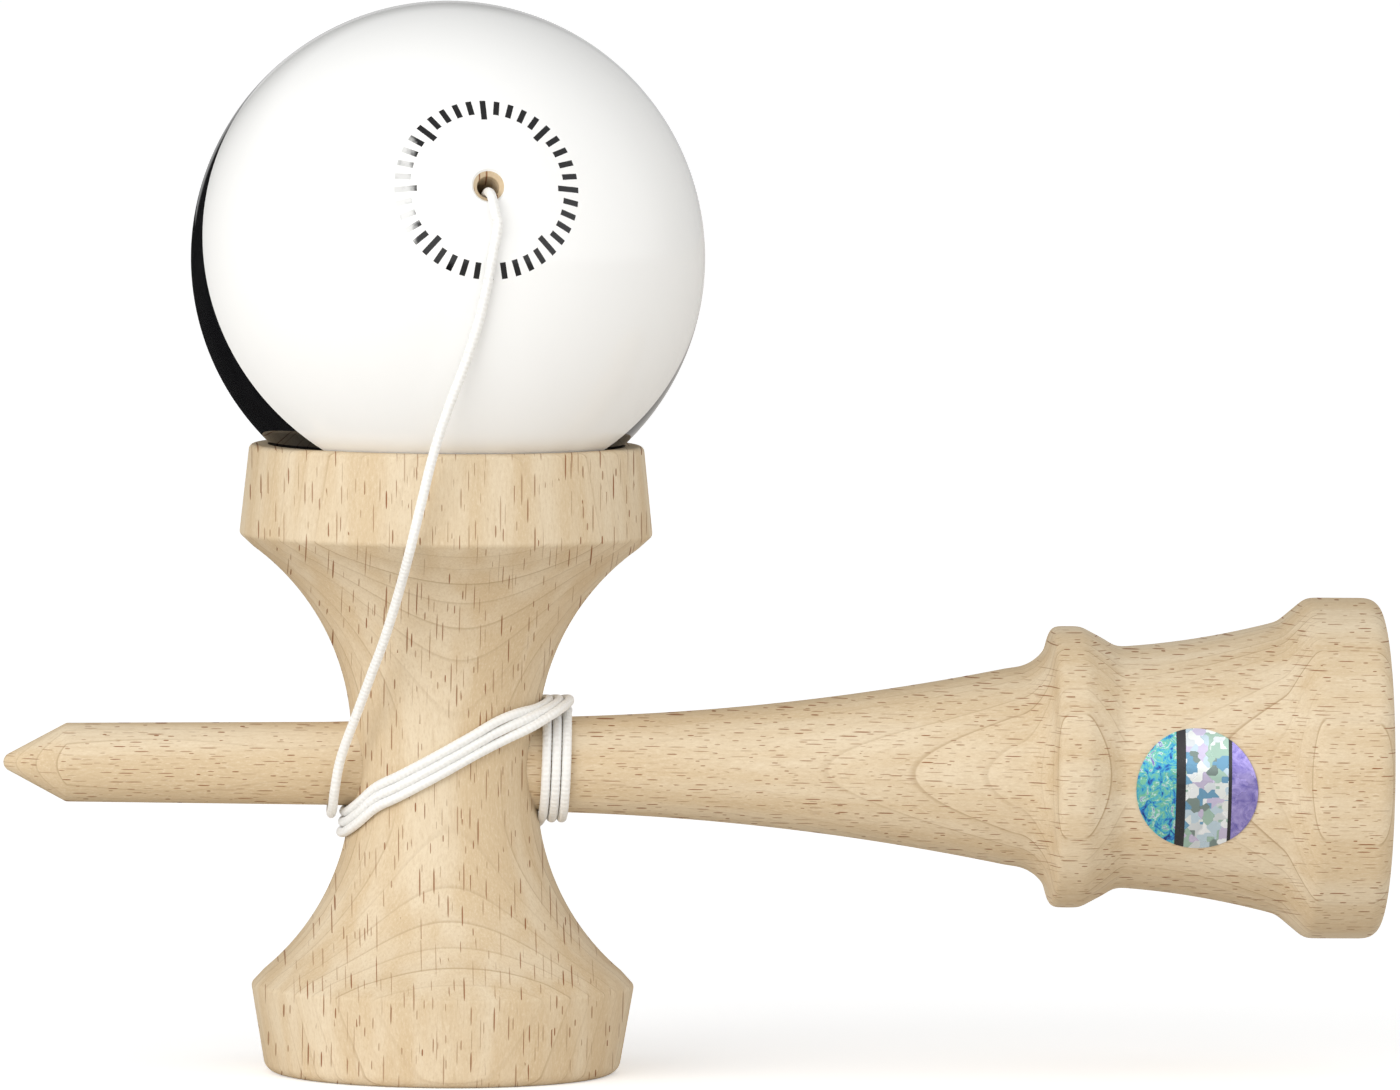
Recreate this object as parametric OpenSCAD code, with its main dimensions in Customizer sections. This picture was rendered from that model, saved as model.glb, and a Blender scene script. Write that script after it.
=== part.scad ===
// Kendama standing on its small cup: cross cup, handle with spike, ball on the big cup, string and bead.
// Millimetres. Origin at the centre of the small cup's mouth, +Z up, +X along the handle to its base cup.

/* [Cross cup] */
// Height from the small cup's rim to the big cup's rim
cup_h = 73.5; // [68:0.5:80]
// Height of the handle's axis
axis_z = 36.1; // [34:0.1:38]
// Radius of the waist
waist_r = 10.9; // [10.5:0.1:11.1]
// Half of the straight length at the waist
waist_half = 2.75; // [2:0.25:3.5]
// Radius of the hollow sweep between waist and collars
neck_sweep_r = 28; // [26:0.5:31]
// Radius of the big collar at its lower edge
big_collar_r = 24.1; // [23.6:0.1:24.3]
// Outer radius of the big cup's rim
big_rim_r = 23.1; // [22.5:0.1:23.8]
// Radius of the big cup's mouth, where the ball sits
big_mouth_r = 20.9; // [19.5:0.1:21.5]
// Radius of the big cup's bowl
big_bowl_r = 27; // [25:0.5:29]
// Radius of the small collar at its upper edge
small_collar_r = 22.35; // [21.5:0.05:23.5]
// Outer radius of the small cup's rim
small_rim_r = 20.9; // [20:0.1:21.5]
// Radius of the small cup's mouth
small_mouth_r = 17.6; // [16.5:0.1:18.2]
// Radius of the small cup's bowl
small_bowl_r = 22; // [20:0.5:26]
// Rounding of the collars' edges and of the big rim
collar_round = 0.7; // [0.3:0.1:1]
// Rounding of the small cup's foot
foot_round = 1.6; // [0.8:0.1:2]

/* [Handle] */
// Distance from the cross cup's axis to the spike's tip
spike_l = 51.5; // [46:0.5:58]
// Length of the spike's pointed end
point_l = 7.3; // [5:0.1:9]
// Radius of the blunt tip
tip_r = 1.1; // [0.6:0.1:1.6]
// Radius of the spike behind its point
spike_r = 4.6; // [4.2:0.1:4.8]
// Half of the length of the tapered seat
seat_half = 14; // [12:0.5:16]
// Seat radius at the spike end
seat_small_r = 4.85; // [4.8:0.05:5]
// Seat radius at the base-cup end
seat_large_r = 5.6; // [5.2:0.05:5.7]
// Distance from the base cup's mouth back to the middle of the ring
ring_back = 36.8; // [34:0.2:40]
// Radius of the ring
ring_r = 16.5; // [15.5:0.1:18]
// Width of the ring's flat crest
ring_w = 2.6; // [2:0.1:4]
// Rounding of the ring's edges
ring_round = 1; // [0.6:0.1:1.2]
// Length of the hollow in front of the ring
ring_run = 5.5; // [5:0.1:7]
// Radius of that hollow
ring_hollow_r = 5; // [4:0.1:5.4]
// Radius of the handle where it meets the ring
flare_r = 11.6; // [10.5:0.1:12.5]
// Radius of the neck between ring and base cup
base_neck_r = 14.15; // [13.5:0.05:15]
// Length from the ring to that neck
base_neck_run = 5; // [4:0.1:6]
// Radius of the hollow at that neck
base_hollow_r = 2.5; // [2:0.1:3]
// Radius of the base cup under its rim
base_body_r = 17.2; // [16.5:0.1:18]
// Length of the slope under the base cup's rim
base_shoulder = 2.6; // [2:0.1:3.5]
// Rounding at the top of that slope
base_edge_round = 1.2; // [0.8:0.1:1.5]
// Outer radius of the base cup's rim
base_rim_r = 20; // [19:0.1:21]
// Width of the base cup's rim
base_rim_w = 9.5; // [8:0.5:11]
// Distance from the cross cup's axis to the base cup's mouth
base_l = 109.8; // [106:0.2:116]
// Radius of the base cup's mouth
base_mouth_r = 16.4; // [15.5:0.1:17]
// Radius of the base cup's bowl
base_bowl_r = 21; // [19:0.5:24]
// Rounding of the base cup's end
base_round = 1.9; // [1:0.1:2.4]
// Clearance of the handle in its tapered bore
seat_gap = 0.05; // [0.02:0.01:0.1]

/* [Ball] */
// Radius of the ball over its lacquer
ball_r = 30; // [29.5:0.1:30.5]
// Thickness of the lacquer
lacquer_t = 0.25; // [0.15:0.05:0.4]
// Clearance between ball and cup
ball_gap = 0.2; // [0.1:0.05:0.4]
// Turn of the string hole to the right of the front
hole_turn = 7.5; // [0:0.5:12]
// Rise of the string hole above the level
hole_rise = 18.3; // [15:0.1:22]
// Radius of the string hole
hole_r = 1.3; // [1.2:0.05:1.8]
// Bevel at the string hole's mouth
hole_bevel = 0.8; // [0.7:0.05:1.1]
// Distance of the colour line in front of the ball's centre
colour_line = 4.9; // [2:0.1:8]
// Radius of the spike hole
bore_r = 10; // [8.5:0.1:10.8]
// Straight length of the spike hole's wall, from the ball's outer end
bore_l = 36; // [33:0.5:37]
// Bevel at the spike hole's mouth
bore_bevel = 1.6; // [1:0.1:2.2]

/* [String and bead] */
// Diameter of the string
string_d = 1; // [0.8:0.05:1.05]
// Clearance of the string round wood and lacquer
string_gap = 0.2; // [0.1:0.05:0.25]
// Radius of the string's holes in handle and cross cup
anchor_hole_r = 1; // [0.9:0.05:1.3]
// Slope of those holes below the level, towards the back
anchor_tilt = 40; // [38:0.5:42]
// Radius of the bead
bead_r = 4; // [3.5:0.1:4.5]
// Radius of the bead's bore
bead_bore_r = 0.8; // [0.7:0.05:1.1]
// Radius of a knot
knot_r = 1.35; // [1.2:0.05:1.5]
// Length of a knot
knot_l = 2.4; // [2:0.1:3]
// Strands of string across the handle's front, beside the cross cup
handle_strands = 3; // [2:1:3]
// Step of those strands
handle_step = 1.45; // [1.42:0.01:1.5]
// Step of the slanting turns round the waist
waist_step = 1.73; // [1.72:0.01:1.78]

/* [Label] */
// Distance from the base cup's mouth back to the label's centre
label_back = 22.8; // [22:0.2:24]
// Radius of the label
label_r = 7; // [4:0.5:7.2]
// Thickness of the label
label_t = 0.12; // [0.08:0.02:0.2]
// Turn of the label below the front
label_turn = 6; // [-20:1:40]
// Thickness of the label's glue
label_gap = 0.05; // [0.02:0.01:0.1]

/* [Hidden] */
$fn = 96;
beech = "burlywood";
past = 1;                       // how far a cutter runs past the face that it cuts
string_r = string_d / 2;
curve_steps = 12;

// Rise of the neck's sweep over a distance, and the distance at which it has risen so far
function sweep_rise(along) = neck_sweep_r - sqrt(pow(neck_sweep_r, 2) - pow(max(along, 0), 2));
function sweep_run(rise) = sqrt(pow(neck_sweep_r, 2) - pow(neck_sweep_r - rise, 2));
// Radius of the cross cup's waist and necks at a height above the handle's axis
function neck_r(up) = waist_r + sweep_rise(abs(up) - waist_half);
// Points of an arc, centre and radius given, between two angles
function arc(centre, radius, from, to, steps = 6) =
    [for (i = [0 : steps]) let (a = from + (to - from) * i / steps) centre + radius * [cos(a), sin(a)]];
// Height of a bowl's ball centre above its mouth's plane
function bowl_lift(bowl, mouth) = sqrt(bowl * bowl - mouth * mouth);

big_edge_z = axis_z + waist_half + sweep_run(big_collar_r - waist_r);
small_edge_z = axis_z - waist_half - sweep_run(small_collar_r - waist_r);
// The ball sits on the mouth's edge, or on the bowl's floor where it is smaller than the bowl
seated_r = ball_r + ball_gap;
ball_z = cup_h + (seated_r > big_bowl_r ? bowl_lift(seated_r, big_mouth_r)
                                        : bowl_lift(big_bowl_r, big_mouth_r) - big_bowl_r + seated_r);
core_r = ball_r - lacquer_t;

// Radius of the handle's flares, from seat to ring and from neck to base cup
ring_x = base_l - ring_back;
label_x = base_l - label_back;
flare_from = seat_half;
flare_to = ring_x - ring_w / 2 - ring_run;
neck_x = ring_x + ring_w / 2 + base_neck_run;
base_from = base_l - base_rim_w - base_shoulder;
base_start_slope = 1.2;
point_angle = atan((spike_r - tip_r) / (point_l - tip_r));
seat_slope = (seat_large_r - seat_small_r) / (2 * seat_half);
function bend(t, start, end, slope) = start + slope * t + (end - start - slope) * t * t;
function flare(x) = let (run = flare_to - flare_from)
    bend((x - flare_from) / run, seat_large_r, flare_r, seat_slope * run);
function base_flare(x) =
    bend((x - neck_x) / (base_from - neck_x), base_neck_r, base_body_r, base_start_slope);

// Bead seat inside the ball, measured along the string hole's axis from the ball's centre
bore_end = bore_l - ball_r;
bead_play = 0.3;
knot_gap = 0.1;
knot_room = 1;                  // from the end of the spike hole's wall to the bead's knot
seat_cone = 5;
bead_pocket_r = bead_r + bead_play;
bead_half = 0.9 * bead_r;
bead_stop = bore_end + knot_room + knot_l + knot_gap + 2 * bead_half + bead_play;
bead_mid = bead_stop - bead_play - bead_half;
knot_top = bead_mid - bead_half - knot_gap;

// A point given along the string hole's axis (z) and square to it (x right, y up), in the part's frame
function turn_x(p, a) = [p.x, p.y * cos(a) - p.z * sin(a), p.y * sin(a) + p.z * cos(a)];
function turn_z(p, a) = [p.x * cos(a) - p.y * sin(a), p.x * sin(a) + p.y * cos(a), p.z];
function in_ball(p) = [0, 0, ball_z] + turn_z(turn_x(p, 90 - hole_rise), hole_turn);
function at_axis(p) = p + [0, 0, axis_z];
function unit(v) = v / norm(v);

// The string's way from the handle's knot out of the cross cup and on to the handle's turns.
// Distances from the crossing of both axes: first along the slanting hole, then in the part's axes.
anchor_way = [-2.4, 0, 2.5, 5, 8, 11, 13.6];
function along_anchor(d) = [0, d * cos(anchor_tilt), -d * sin(anchor_tilt)];
lead_in_way = [[0.4, 12.2, -10.2], [1.8, 13.6, -11.1], [4.2, 13.6, -11], [6.6, 12.2, -10.2],
               [8.7, 10, -9.2], [10.2, 7.4, -8.2], [11.2, 4.6, -7.4], [11.7, 2.2, -6.8]];
lead_over_way = [[15.65, 1.8, 6.35], [15.7, 3.8, 6], [15.1, 6, 5.5]];
// Radius of the handle's turns, and the place of the first one's start under the handle
loop_rings = 24;
ring_angle = 360 / loop_rings;
handle_turns = handle_strands - 0.5;
turns_x = 11.85;
turns_r = flare(turns_x + handle_step * handle_turns) + string_gap + string_r;
handle_coil = [for (i = [0 : loop_rings * handle_turns]) let (a = 270 + ring_angle * i)
    [turns_x + handle_step * i / loop_rings, -turns_r * cos(a), turns_r * sin(a)]];

// Slanting turns round the waist: over the handle at the right, under the spike at the left.
// Rise of the middle strand over the handle, its drop at the left and the further dip under the spike,
// and the way round in degrees.
over_rise = 7.95;
under_drop = 5;
spike_dip = 2;
dip_from = 0.55;                // cosine, at the left, at which that dip begins
first_turn = 45;
last_turn = 1170;
inner_strand = 1.4;             // steps from the middle strand to the innermost one, at the handle
right_reach = neck_r(over_rise) + string_r + string_gap + inner_strand * waist_step;
side_from = 0.2;                // cosine at which the strands begin to spread along the handle
side_spread = 0.26;             // how far they draw apart on the way there, of their way to the innermost
function ease(t) = let (c = min(max(t, 0), 1)) c * c * (3 - 2 * c);
function waist_point(a) =
    let (strand = ((a - 270) / 360 - 1) * waist_step,
         side = ease((cos(a) - side_from) / (1 - side_from)),
         dip = spike_dip * ease((-cos(a) - dip_from) / (1 - dip_from)),
         slant = (over_rise - under_drop) / 2 + (over_rise + under_drop) / 2 * cos(a) - dip,
         rise = slant + strand * cos(90 * side),
         hug = neck_r(rise) + string_r + string_gap,
         apart = side_spread * (inner_strand * waist_step - strand) * 4 * side * (1 - side),
         reach = hug + (right_reach - hug) * side + apart)
    [reach * cos(a) - strand * sin(90 * side), reach * sin(a), rise];
waist_coil = [for (a = [first_turn : ring_angle : last_turn]) waist_point(a)];

turns_line = [for (p = concat([for (d = anchor_way) along_anchor(d)], lead_in_way, handle_coil,
                              lead_over_way, waist_coil)) at_axis(p)];

// The free string: from behind the waist under the spike, up the front, over the collar to the ball,
// and through the string hole to the bead. The last points are in the string hole's own axes.
free_way = [[-3.9, 11.2, 37.9], [-8.1, 9.3, 35.6], [-11.2, 6.8, 33.7], [-12.9, 3.4, 31.4],
            [-13.2, 0.2, 30.25], [-13.1, -3, 31.1], [-12.9, -5.6, 33.6], [-12.2, -7.6, 37.6],
            [-10.2, -11.6, 43.8], [-8.9, -14.3, 47.8], [-7.6, -17.2, 51.8], [-6.2, -20.7, 57],
            [-5.2, -24.2, 61.4], [-4.6, -25.6, 64.2], [-3.6, -26.2, 68.6], [-2.5, -27, 73.4],
            [-1, -28, 78.4], [1, -29.2, 84], [2.6, -30.1, 89.2], [3.5, -30.5, 93.4],
            [4.1, -30.45, 96.8]];
hole_way = [[0.7, -5, 30.5], [0.5, -3.8, 30.75], [0.3, -2.6, 30.8], [0.2, -1.6, 30.45],
            [0.1, -0.85, 29.75], [0, -0.5, 28.8], [0, -0.4, 27], [0, -0.2, 23.6], [0, 0, 20.4]];
turns_end = turns_line[len(turns_line) - 1];
turns_heading = unit(turns_end - turns_line[len(turns_line) - 2]);
free_line = concat([for (d = [knot_gap, string_d, 2 * string_d]) turns_end + d * turns_heading],
                   free_way, [for (p = hole_way) in_ball(p)],
                   [for (d = [bead_stop, bead_mid, knot_top + knot_gap]) in_ball([0, 0, d])]);

// Points of a smooth curve through given points, with steps rings from each to the next
function between(p, i, t) =
    let (n = len(p) - 1, a = p[max(i - 1, 0)], b = p[i], c = p[min(i + 1, n)], d = p[min(i + 2, n)])
    0.5 * (2 * b + (c - a) * t + (2 * a - 5 * b + 4 * c - d) * t * t + (3 * b - a - 3 * c + d) * t * t * t);
function smooth_line(p, steps) =
    concat([for (i = [0 : len(p) - 2], k = [0 : steps - 1]) between(p, i, k / steps)], [p[len(p) - 1]]);

function heading(p, i) = unit(p[min(i + 1, len(p) - 1)] - p[max(i - 1, 0)]);
// Side vectors square to the line, carried from ring to ring without twist
function carried(side, t) = unit(side - (side * t) * t);
function sides(p) = let (t0 = heading(p, 0), first = carried(abs(t0.z) < 0.8 ? [0, 0, 1] : [1, 0, 0], t0))
    [for (i = 0, s = first; i < len(p); i = i + 1, s = i < len(p) ? carried(s, heading(p, i)) : s) s];
function ring(p, i, side, radius, count) = let (t = heading(p, i), other = cross(t, side))
    [for (k = [0 : count - 1]) let (a = 360 * k / count) p[i] + radius * (cos(a) * side + sin(a) * other)];

// A closed tube along a line of points
module tube(line, radius, count) {
    side = sides(line);
    last = len(line) - 1;
    rings = [for (i = [0 : last], q = ring(line, i, side[i], radius, count)) q];
    walls = [for (i = [0 : last - 1], k = [0 : count - 1])
        let (a = i * count + k, b = i * count + (k + 1) % count)
        each [[a, a + count, b], [b, a + count, b + count]]];
    start = [for (k = [1 : count - 2]) [0, k, k + 1]];
    far = last * count;
    end = [for (k = [1 : count - 2]) [far, far + k + 1, far + k]];
    polyhedron(rings, concat(walls, start, end), convexity = 10);
}

// Points along the straight stretches of a line, some to each stretch
function cut(p, parts) =
    [for (i = [0 : len(p) - 2], k = [0 : parts - 1]) p[i] + (p[i + 1] - p[i]) * k / parts];
// Least distance between points of a line that lie more than a way apart along it, less the string itself
function self_gap(p, apart) =
    min([for (i = [0 : len(p) - 1 - apart], j = [i + apart : len(p) - 1]) norm(p[i] - p[j])]) - string_d;
function line_length(p) = len(p) < 2 ? 0 : [for (i = 1, s = norm(p[1] - p[0]); i < len(p); i = i + 1,
    s = s + (i < len(p) ? norm(p[i] - p[i - 1]) : 0)) s][len(p) - 2];

// Places a part that is drawn along +Z on the handle's axis
module along_handle() translate([0, 0, axis_z]) rotate([0, 90, 0]) children();
// Places a part that is drawn along +Z on the slanting string hole of the handle
module along_anchor_hole() translate([0, 0, axis_z]) rotate([-90 - anchor_tilt, 0, 0]) children();
// Places a part that is drawn along +Z on the ball's string hole
module along_string_hole() translate([0, 0, ball_z]) rotate([90 - hole_rise, 0, hole_turn]) children();

small_sweep = sweep_run(small_collar_r - collar_round - waist_r);
big_sweep = sweep_run(big_collar_r - collar_round - waist_r);
cross_outline = concat(
    [[0, 0]],
    arc([small_rim_r - foot_round, foot_round], foot_round, -90, -6),
    arc([small_collar_r - collar_round, small_edge_z - collar_round], collar_round, -6, 50),
    [for (i = [curve_steps - 1 : -1 : 0]) let (up = waist_half + small_sweep * i / curve_steps)
        [neck_r(up), axis_z - up]],
    [for (i = [0 : curve_steps - 1]) let (up = waist_half + big_sweep * i / curve_steps)
        [neck_r(up), axis_z + up]],
    arc([big_collar_r - collar_round, big_edge_z + collar_round], collar_round, -50, 6),
    arc([big_rim_r - collar_round, cup_h - collar_round], collar_round, 6, 90),
    [[0, cup_h]]);

module cross_cup() {
    color(beech) difference() {
        rotate_extrude() polygon(cross_outline);
        translate([0, 0, cup_h + bowl_lift(big_bowl_r, big_mouth_r)]) sphere(big_bowl_r);
        translate([0, 0, -bowl_lift(small_bowl_r, small_mouth_r)]) sphere(small_bowl_r);
        along_handle() translate([0, 0, -seat_half])
            cylinder(h = 2 * seat_half, r1 = seat_small_r + seat_gap, r2 = seat_large_r + seat_gap);
        along_anchor_hole() cylinder(h = 2 * waist_r, r = anchor_hole_r);
    }
}

handle_outline = concat(
    arc([0, tip_r - spike_l], tip_r, -90, -point_angle),
    [[spike_r, point_l - spike_l], [seat_small_r, -seat_half], [seat_large_r, seat_half]],
    [for (i = [1 : curve_steps]) let (x = flare_from + (flare_to - flare_from) * i / curve_steps)
        [flare(x), x]],
    arc([flare_r + ring_hollow_r, flare_to], ring_hollow_r, 172, 122),
    arc([ring_r - ring_round, ring_x - ring_w / 2], ring_round, -40, 0, 4),
    arc([ring_r - ring_round, ring_x + ring_w / 2], ring_round, 0, 45, 4),
    arc([base_neck_r + base_hollow_r, neck_x], base_hollow_r, 225, 180, 4),
    [for (i = [1 : curve_steps]) let (x = neck_x + (base_from - neck_x) * i / curve_steps)
        [base_flare(x), x]],
    arc([base_rim_r - base_edge_round, base_l - base_rim_w + base_edge_round], base_edge_round, -45, -4, 4),
    arc([base_rim_r - base_round, base_l - base_round], base_round, 4, 90),
    [[0, base_l]]);

module handle() {
    color(beech) difference() {
        along_handle() rotate_extrude() polygon(handle_outline);
        along_handle() translate([0, 0, base_l + bowl_lift(base_bowl_r, base_mouth_r)]) sphere(base_bowl_r);
        along_anchor_hole() translate([0, 0, -seat_large_r])
            cylinder(h = 2 * seat_large_r, r = anchor_hole_r);
        along_anchor_hole() translate([0, 0, -seat_large_r - past])
            cylinder(h = past + seat_large_r + anchor_way[0], r = knot_r + string_gap);
    }
}

module label() {
    span = label_r + past;
    xs = [for (i = [0 : curve_steps]) label_x - span + 2 * span * i / curve_steps];
    shell = concat([for (x = xs) [base_flare(x) + label_gap, x]],
                   [for (i = [curve_steps : -1 : 0]) [base_flare(xs[i]) + label_gap + label_t, xs[i]]]);
    color("lightsteelblue") intersection() {
        along_handle() rotate_extrude() polygon(shell);
        translate([label_x, 0, axis_z]) rotate([90 + label_turn, 0, 0]) cylinder(h = base_rim_r, r = label_r);
    }
}

// A tied knot: a short barrel with round edges
module knot() {
    edge = knot_r / 2;
    rotate_extrude() polygon(concat([[0, 0]], arc([knot_r - edge, edge], edge, -90, 0),
                                    arc([knot_r - edge, knot_l - edge], edge, 0, 90), [[0, knot_l]]));
}

module handle_knot() {
    color("white") along_anchor_hole() translate([0, 0, anchor_way[0] - knot_gap - knot_l]) knot();
}

module string_turns() { color("white") tube(turns_line, string_r, 6); }

module string_free() { color("white") tube(smooth_line(free_line, 2), string_r, 8); }

// The ball's wood: a turned ball with the spike hole, the bead's seat and the string hole in line
module ball_core() {
    color(beech) along_string_hole() difference() {
        sphere(core_r);
        translate([0, 0, -ball_r]) cylinder(h = bore_l, r = bore_r);
        translate([0, 0, -ball_r]) bore_mouth();
        translate([0, 0, bore_end]) cylinder(h = seat_cone, r1 = bore_r, r2 = bead_pocket_r);
        translate([0, 0, bore_end]) cylinder(h = bead_stop - bore_end, r = bead_pocket_r);
        cylinder(h = ball_r, r = hole_r);
        string_hole_mouth();
    }
}

// The bevelled mouth of the spike hole, and of the string hole
module bore_mouth() {
    mouth = ball_r - sqrt(pow(ball_r, 2) - pow(bore_r + bore_bevel, 2));
    cylinder(h = mouth + bore_bevel, r1 = bore_r + bore_bevel + mouth, r2 = bore_r);
}
module string_hole_mouth() {
    translate([0, 0, ball_r - hole_bevel])
        cylinder(h = 2 * hole_bevel, r1 = hole_r, r2 = hole_r + 2 * hole_bevel);
}

// A coat of lacquer on the ball, open at both holes
module coat() {
    difference() {
        sphere(ball_r);
        sphere(core_r);
        translate([0, 0, -ball_r]) cylinder(h = ball_r, r = bore_r);
        translate([0, 0, -ball_r]) bore_mouth();
        cylinder(h = 2 * ball_r, r = hole_r);
        string_hole_mouth();
    }
}
module ahead_of_colour_line() translate([-2 * ball_r, -2 * ball_r, colour_line]) cube(4 * ball_r);

module white_lacquer() {
    color("white") along_string_hole() intersection() { coat(); ahead_of_colour_line(); }
}

module black_lacquer() {
    color("black") along_string_hole() difference() { coat(); ahead_of_colour_line(); }
}

module bead() {
    color("white") along_string_hole() translate([0, 0, bead_mid]) difference() {
        intersection() {
            sphere(bead_r);
            cube([2 * bead_r + past, 2 * bead_r + past, 2 * bead_half], center = true);
        }
        cylinder(h = 3 * bead_r, r = bead_bore_r, center = true);
    }
}

module bead_knot() {
    color("white") along_string_hole() translate([0, 0, knot_top - knot_l]) knot();
}

echo(turns_self_gap = self_gap(cut(turns_line, 5), 40), turns_length = line_length(turns_line),
     free_length = line_length(smooth_line(free_line, 2)), turns_rings = len(turns_line));

cross_cup();
handle();
label();
handle_knot();
string_turns();
ball_core();
white_lacquer();
black_lacquer();
bead();
bead_knot();
string_free();
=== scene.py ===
"""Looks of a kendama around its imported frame. Lengths are millimetres until put_mesh makes them metres."""
from math import cos, radians, sin, sqrt

import bpy
import numpy as np
from mathutils import Matrix, Vector


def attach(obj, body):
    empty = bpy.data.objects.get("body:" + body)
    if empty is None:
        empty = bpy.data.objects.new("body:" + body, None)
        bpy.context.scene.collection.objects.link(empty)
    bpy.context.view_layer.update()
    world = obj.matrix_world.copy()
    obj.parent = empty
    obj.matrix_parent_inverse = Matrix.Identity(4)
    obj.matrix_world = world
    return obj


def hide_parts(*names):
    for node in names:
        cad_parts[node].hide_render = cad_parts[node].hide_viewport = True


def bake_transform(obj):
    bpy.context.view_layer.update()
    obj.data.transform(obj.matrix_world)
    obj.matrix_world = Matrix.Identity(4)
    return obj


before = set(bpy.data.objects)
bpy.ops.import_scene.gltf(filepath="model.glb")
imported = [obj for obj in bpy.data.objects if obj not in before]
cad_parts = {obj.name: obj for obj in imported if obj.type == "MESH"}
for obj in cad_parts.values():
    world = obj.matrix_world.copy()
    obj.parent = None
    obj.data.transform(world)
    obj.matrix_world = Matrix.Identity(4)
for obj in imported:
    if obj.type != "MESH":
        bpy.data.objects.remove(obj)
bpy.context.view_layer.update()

# Camera. A long lens stands level with the middle of the toy, a little to its left and a little
# above it, and leans half a degree. The picture is 1400 by 1090 pixels.
METRE = 1000.0
picture_w = 1400
focal_px = 12825
camera_distance = 1500
camera_turn, camera_rise, camera_roll = radians(-3), radians(3.45), radians(0.5)
looked_at = Vector((29.722, 0, 61.908))
back = Vector((sin(camera_turn) * cos(camera_rise), -cos(camera_turn) * cos(camera_rise),
               sin(camera_rise)))
level = Vector((0, 0, 1)).cross(back).normalized()
above = back.cross(level)
right = cos(camera_roll) * level + sin(camera_roll) * above
camera = bpy.data.objects.new("camera", bpy.data.cameras.new("camera"))
camera.data.sensor_fit = "HORIZONTAL"
camera.data.sensor_width = 36
camera.data.lens = camera.data.sensor_width * focal_px / picture_w
camera.matrix_world = Matrix.Translation((looked_at + camera_distance * back) / METRE) @ Matrix(
    (right, back.cross(right), back)).transposed().to_4x4()
bpy.context.collection.objects.link(camera)
bpy.context.scene.camera = camera


# String. One length of white braided polyester, about a millimetre thick. Its knotted end sits in the
# handle; it comes out behind the waist, winds round the handle's shaft and slantwise round the waist,
# and runs up the front and over the ball into the string hole.
string_d = 1.12
string_r = string_d / 2
string_clearance = 0.08
axis_z = 36.1
waist_r, waist_half, neck_sweep_r = 10.9, 2.75, 28.0
anchor_tilt = radians(40)
anchor_way = np.array([-2.4, 0, 2.5, 5, 8, 11, 13.6])
handle_seat_r = 5.2
lead_in_way = [[0.4, 12.2, -10.2], [1.8, 13.6, -11.1], [4.2, 13.6, -11], [6.6, 12.2, -10.2],
               [8.7, 10, -9.2], [10, 7.4, -8.2], [10.9, 4.6, -7.4], [11.3, 2.2, -6.8]]
lead_over_way = [[14.45, 1.8, 6.3], [14.4, 3.8, 5.95], [13, 6.3, 5.4]]
shaft_turns, shaft_step, shaft_turns_x, shaft_turns_r = 2.5, 1.17, 11.4, 6.25
waist_step, waist_first, waist_last = 1.22, 45, 1170
over_rise, under_drop, spike_dip = 7.6, 5.0, 1.52
side_from, dip_from, inner_strand = 0.35, 0.7, 1.4
free_way = [[-3.9, 11.2, 37.9], [-8.1, 9.3, 35.6], [-11.2, 6.8, 33.7], [-12.9, 3.4, 31.4],
            [-13.2, 0.2, 30.25], [-13.1, -3, 31.1], [-12.9, -5.6, 33.6], [-12.2, -7.6, 37.6],
            [-10.2, -11.6, 43.8], [-8.9, -14.3, 47.8], [-7.6, -17.2, 51.8], [-6.2, -20.7, 57],
            [-5.2, -24.2, 61.4], [-4.6, -25.6, 64.2], [-3.6, -26.2, 68.6], [-2.5, -27, 73.4],
            [-1, -28, 78.4], [1, -29.2, 84], [2.6, -30.1, 89.2], [3.5, -30.5, 93.4],
            [4.1, -30.45, 96.8]]
hole_way = [[0.7, -5, 30.5], [0.5, -3.8, 30.75], [0.3, -2.6, 30.8], [0.2, -1.6, 30.45],
            [0.1, -0.85, 29.75], [0, -0.5, 28.8], [0, -0.4, 27], [0, -0.2, 23.6], [0, 0, 20.4]]
ball_centre = np.array([0, 0, 95.3])
hole_turn, hole_rise = radians(7.5), radians(18.3)
hole_axis = np.array([sin(hole_turn) * cos(hole_rise), -cos(hole_turn) * cos(hole_rise), sin(hole_rise)])
hole_side = np.array([cos(hole_turn), sin(hole_turn), 0])
hole_up = np.cross(hole_axis, hole_side)
ball_axes = np.array([hole_side, hole_up, hole_axis])
bead_stop, bead_mid, knot_top = 17.0, 13.1, 9.4
ring_step = 0.12
string_sides = 16
yarn_pairs, yarn_pitch, braid_swell, braid_dip = 2.0, 3.0, 0.035, 0.015


def in_ball(points):
    """Points given right of, above and along the ball's string hole, turned into the part's axes."""
    return ball_centre + np.asarray(points) @ ball_axes


def neck_radius(up):
    """Radius of the waist and necks at a height over the handle's axis: straight, then an arc."""
    along = np.maximum(np.abs(up) - waist_half, 0)
    return waist_r + neck_sweep_r - np.sqrt(neck_sweep_r ** 2 - along ** 2)


def eased(t):
    """0 to 1 with level ends: 3 t squared less 2 t cubed."""
    c = np.clip(t, 0, 1)
    return c * c * (3 - 2 * c)


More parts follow.
